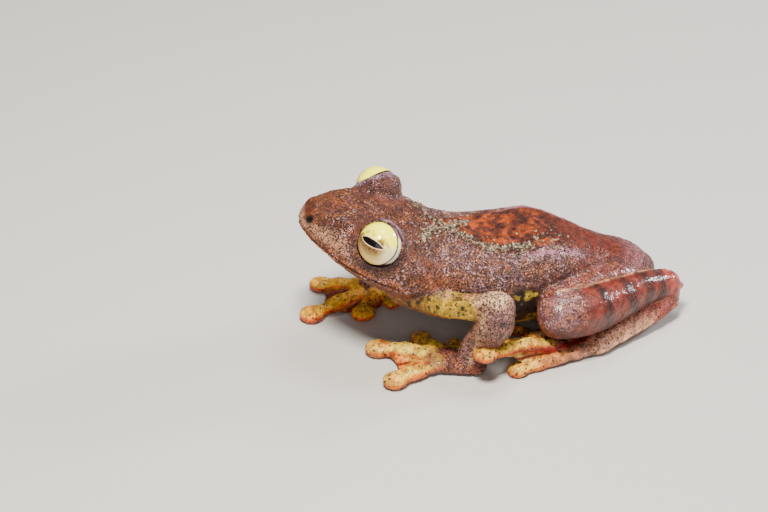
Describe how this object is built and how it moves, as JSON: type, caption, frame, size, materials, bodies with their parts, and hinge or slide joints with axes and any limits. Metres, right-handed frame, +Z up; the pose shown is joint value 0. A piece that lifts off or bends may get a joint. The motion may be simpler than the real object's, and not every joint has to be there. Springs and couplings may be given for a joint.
{
  "type": "harlequin tree frog model",
  "caption": "Life-size tree frog sitting with folded hind legs, raised head, big side-set eyes and webbed hands and feet with round finger and toe discs.",
  "frame": {"origin": "centre of the whole frog's outline on the floor it sits on", "axes": "+Z up, the head points along -Y, the frog's left side is +X"},
  "size_m": [0.0302, 0.05, 0.0219],
  "materials": {
    "back": "moist red-brown skin with lilac freckles and an orange-red back patch",
    "jaw": "moist orange-brown lower lip and pale throat skin",
    "limb": "wet, glossy red-brown skin with darker bars and lilac freckles",
    "hand": "moist yellow-orange skin with dark dots and red webs",
    "eye": "cream and yellow iris with a black slit pupil under a clear wet cornea"
  },
  "bodies": {
    "root": {"head": "back", "lower_jaw": "jaw", "torso": "back", "pelvis": "back", "eye_left": "eye", "eye_right": "eye", "upper_arm_left": "limb", "forearm_left": "limb", "thigh_left": "limb", "shank_left": "limb", "tarsus_left": "limb", "hand_left": "hand", "foot_left": "hand", "upper_arm_right": "limb", "forearm_right": "limb", "thigh_right": "limb", "shank_right": "limb", "tarsus_right": "limb", "hand_right": "hand", "foot_right": "hand"}
  },
  "joints": []
}
